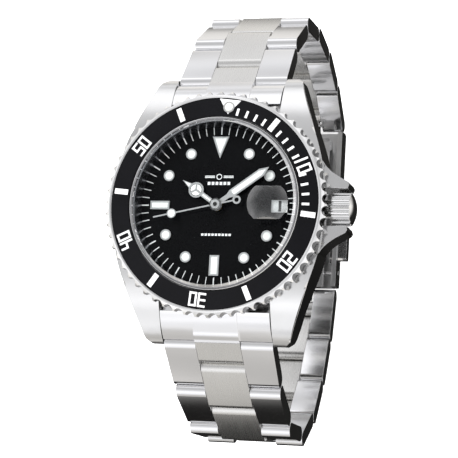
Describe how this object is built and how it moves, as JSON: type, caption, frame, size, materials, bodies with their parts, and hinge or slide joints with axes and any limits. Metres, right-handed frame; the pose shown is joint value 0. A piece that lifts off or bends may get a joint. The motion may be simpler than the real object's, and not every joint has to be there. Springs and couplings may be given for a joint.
{
  "type": "wristwatch",
  "caption": "Self-winding wristwatch with turning bezel, black dial, date lens, screwed back and a steel bracelet of brushed and polished links with a folding push-button clasp.",
  "frame": {"origin": "centre of the case back's flat outer face, on the hands' axis", "axes": "+X towards the crown at 3 o'clock, +Y towards 12 o'clock, +Z out through the dial; the closed bracelet hangs below and the watch stands on its clasp"},
  "size_m": [0.0442, 0.0812, 0.0675],
  "materials": {
    "steel_brushed": "brushed stainless steel",
    "steel_polished": "polished stainless steel",
    "insert_black": "glossy black aluminium insert with pale numbers",
    "dial_black": "glossy black lacquer",
    "lume_white": "pale luminous paint",
    "glass_clear": "clear mineral glass",
    "gasket_black": "black rubber seal",
    "gasket_white": "pale nylon seal",
    "holder_white": "pale plastic spacer",
    "rehaut_grey": "satin inner flange",
    "movement_nickel": "nickel-plated brass, fine graining",
    "movement_gilt": "gilt brass wheels",
    "spring_blue": "blued spring steel",
    "date_white": "white printed date disc"
  },
  "bodies": {
    "case": {"balance_cock": "movement_nickel", "bezel_click_spring": "steel_polished", "bridge_screws": "spring_blue", "case_back": "steel_polished", "case_back_gasket": "gasket_black", "case_middle": "steel_polished", "crown_tube": "steel_polished", "crystal": "glass_clear", "crystal_gasket": "gasket_white", "cyclops_lens": "glass_clear", "dial": "dial_black", "end_link_12": "steel_brushed", "end_link_6": "steel_brushed", "hairspring": "spring_blue", "hour_markers": "steel_polished", "main_plate": "movement_nickel", "marker_lume": "lume_white", "movement_holder": "holder_white", "rehaut": "rehaut_grey", "rotor_bearing": "movement_nickel", "spring_bars": "steel_polished", "train_bridge": "movement_nickel"},
    "bezel": {"bezel_ring": "steel_polished", "bezel_insert": "insert_black", "bezel_pip": "lume_white"},
    "crown_slide": {"crown_gasket": "gasket_black"},
    "crown": {"crown": "steel_polished", "stem": "steel_polished"},
    "seconds_train": {"fourth_wheel": "movement_gilt", "seconds_hand": "steel_polished"},
    "minute_train": {"centre_wheel": "movement_gilt", "minute_hand": "steel_polished"},
    "hour_train": {"hour_wheel": "movement_gilt", "hour_hand": "steel_polished"},
    "barrel": {"barrel": "movement_gilt"},
    "third_wheel": {"third_wheel": "movement_gilt"},
    "escape_wheel": {"escape_wheel": "movement_nickel"},
    "date_ring": {"date_ring": "date_white"},
    "pallet_fork": {"pallet_fork": "movement_nickel"},
    "balance": {"balance_wheel": "movement_gilt"},
    "rotor": {"rotor": "movement_nickel"},
    "clasp_cover": {"clasp_cover": "steel_brushed", "clasp_spring_bar": "steel_brushed"},
    "middle_blade": {"clasp_middle_blade": "steel_brushed"},
    "inner_blade": {"clasp_inner_blade": "steel_brushed"},
    "button_crown_side": {"clasp_button_crown_side": "steel_brushed"},
    "button_far_side": {"clasp_button_far_side": "steel_brushed"},
    "link_12_1": {"link_12_1": "steel_brushed"},
    "link_12_2": {"link_12_2": "steel_brushed"},
    "link_12_3": {"link_12_3": "steel_brushed"},
    "link_12_4": {"link_12_4": "steel_brushed"},
    "link_12_5": {"link_12_5": "steel_brushed"},
    "link_12_6": {"link_12_6": "steel_brushed"},
    "link_6_1": {"link_6_1": "steel_brushed"},
    "link_6_2": {"link_6_2": "steel_brushed"},
    "link_6_3": {"link_6_3": "steel_brushed"},
    "link_6_4": {"link_6_4": "steel_brushed"},
    "link_6_5": {"link_6_5": "steel_brushed"},
    "link_6_6": {"link_6_6": "steel_brushed"},
    "link_6_7": {"link_6_7": "steel_brushed"}
  },
  "joints": [
    {"name": "bezel_turn", "type": "hinge", "parent": "case", "child": "bezel", "pos_m": [0, 0, 0.0103], "axis": [0, 0, 1], "continuous": true},
    {"name": "crown_pull", "type": "slide", "parent": "case", "child": "crown_slide", "axis": [1, 0, 0], "range_m": [0, 0.001]},
    {"name": "crown_turn", "type": "hinge", "parent": "crown_slide", "child": "crown", "pos_m": [0.0215, 0, 0.0055], "axis": [1, 0, 0], "continuous": true},
    {"name": "seconds_turn", "type": "hinge", "parent": "case", "child": "seconds_train", "pos_m": [0, 0, 0.0085], "axis": [0, 0, -1], "continuous": true},
    {"name": "minute_turn", "type": "hinge", "parent": "case", "child": "minute_train", "pos_m": [0, 0, 0.0085], "axis": [0, 0, -1], "continuous": true},
    {"name": "hour_turn", "type": "hinge", "parent": "case", "child": "hour_train", "pos_m": [0, 0, 0.0085], "axis": [0, 0, -1], "continuous": true},
    {"name": "third_wheel_turn", "type": "hinge", "parent": "case", "child": "third_wheel", "pos_m": [-0.00423, -0.00154, 0.0052], "axis": [0, 0, -1], "continuous": true},
    {"name": "barrel_turn", "type": "hinge", "parent": "case", "child": "barrel", "pos_m": [-0.00336, 0.00582, 0.0062], "axis": [0, 0, -1], "continuous": true},
    {"name": "escape_wheel_turn", "type": "hinge", "parent": "case", "child": "escape_wheel", "pos_m": [0.00077, -0.00439, 0.0055], "axis": [0, 0, -1], "continuous": true},
    {"name": "date_turn", "type": "hinge", "parent": "case", "child": "date_ring", "pos_m": [0, 0, 0.0079], "axis": [0, 0, -1], "continuous": true},
    {"name": "pallet_rock", "type": "hinge", "parent": "case", "child": "pallet_fork", "pos_m": [0.00269, -0.00595, 0.0052], "axis": [0, 0, 1], "range_deg": [-5, 5]},
    {"name": "balance_swing", "type": "hinge", "parent": "case", "child": "balance", "pos_m": [0.0046, -0.0075, 0.0042], "axis": [0, 0, 1], "range_deg": [-135, 135], "stiffness_Nm_per_rad": 0.0000002},
    {"name": "rotor_turn", "type": "hinge", "parent": "case", "child": "rotor", "pos_m": [0, 0, 0.0028], "axis": [0, 0, 1], "continuous": true},
    {"name": "hinge_12_1", "type": "hinge", "parent": "case", "child": "link_12_1", "pos_m": [0, 0.02466, 0.00098], "axis": [1, 0, 0], "range_deg": [0, 20]},
    {"name": "hinge_12_2", "type": "hinge", "parent": "link_12_1", "child": "link_12_2", "pos_m": [0, 0.0332, -0.00594], "axis": [1, 0, 0], "range_deg": [0, 19]},
    {"name": "hinge_12_3", "type": "hinge", "parent": "link_12_2", "child": "link_12_3", "pos_m": [0, 0.03903, -0.01527], "axis": [1, 0, 0], "range_deg": [0, 29]},
    {"name": "hinge_12_4", "type": "hinge", "parent": "link_12_3", "child": "link_12_4", "pos_m": [0, 0.03961, -0.02626], "axis": [1, 0, 0], "range_deg": [0, 14]},
    {"name": "hinge_12_5", "type": "hinge", "parent": "link_12_4", "child": "link_12_5", "pos_m": [0, 0.03751, -0.03705], "axis": [1, 0, 0], "range_deg": [0, 14]},
    {"name": "hinge_12_6", "type": "hinge", "parent": "link_12_5", "child": "link_12_6", "pos_m": [0, 0.03286, -0.04702], "axis": [1, 0, 0], "range_deg": [0, 12]},
    {"name": "cover_swing", "type": "hinge", "parent": "link_12_6", "child": "clasp_cover", "pos_m": [0, 0.02832, -0.05305], "axis": [1, 0, 0], "range_deg": [0, 40]},
    {"name": "middle_blade_fold", "type": "hinge", "parent": "clasp_cover", "child": "middle_blade", "pos_m": [0, -0.00312, -0.05249], "axis": [1, 0, 0], "range_deg": [0, 60]},
    {"name": "inner_blade_fold", "type": "hinge", "parent": "middle_blade", "child": "inner_blade", "pos_m": [0, 0.02398, -0.05197], "axis": [-1, 0, 0], "range_deg": [0, 60]},
    {"name": "hinge_6_1", "type": "hinge", "parent": "case", "child": "link_6_1", "pos_m": [0, -0.02455, 0.00113], "axis": [-1, 0, 0], "range_deg": [0, 20]},
    {"name": "hinge_6_2", "type": "hinge", "parent": "link_6_1", "child": "link_6_2", "pos_m": [0, -0.03205, -0.00691], "axis": [-1, 0, 0], "range_deg": [0, 13]},
    {"name": "hinge_6_3", "type": "hinge", "parent": "link_6_2", "child": "link_6_3", "pos_m": [0, -0.03755, -0.01644], "axis": [-1, 0, 0], "range_deg": [0, 28]},
    {"name": "hinge_6_4", "type": "hinge", "parent": "link_6_3", "child": "link_6_4", "pos_m": [0, -0.03794, -0.02743], "axis": [-1, 0, 0], "range_deg": [0, 30]},
    {"name": "hinge_6_5", "type": "hinge", "parent": "link_6_4", "child": "link_6_5", "pos_m": [0, -0.03277, -0.03714], "axis": [-1, 0, 0], "range_deg": [0, 20]},
    {"name": "hinge_6_6", "type": "hinge", "parent": "link_6_5", "child": "link_6_6", "pos_m": [0, -0.0246, -0.0445], "axis": [-1, 0, 0], "range_deg": [0, 11]},
    {"name": "hinge_6_7", "type": "hinge", "parent": "link_6_6", "child": "link_6_7", "pos_m": [0, -0.01517, -0.05017], "axis": [-1, 0, 0], "range_deg": [0, 11]},
    {"name": "button_crown_side_press", "type": "slide", "parent": "clasp_cover", "child": "button_crown_side", "axis": [-1, 0, 0], "range_m": [0, 0.0008], "stiffness_N_per_m": 400},
    {"name": "button_far_side_press", "type": "slide", "parent": "clasp_cover", "child": "button_far_side", "axis": [1, 0, 0], "range_m": [0, 0.0008], "stiffness_N_per_m": 400}
  ],
  "couplings": [
    {"joint": "minute_turn", "follows": "seconds_turn", "ratio": 0.016667},
    {"joint": "hour_turn", "follows": "seconds_turn", "ratio": 0.0013889},
    {"joint": "third_wheel_turn", "follows": "seconds_turn", "ratio": -0.13333},
    {"joint": "barrel_turn", "follows": "seconds_turn", "ratio": -0.002381},
    {"joint": "escape_wheel_turn", "follows": "seconds_turn", "ratio": -12},
    {"joint": "date_turn", "follows": "seconds_turn", "ratio": 0.000022401},
    {"joint": "inner_blade_fold", "follows": "middle_blade_fold", "ratio": 1}
  ]
}
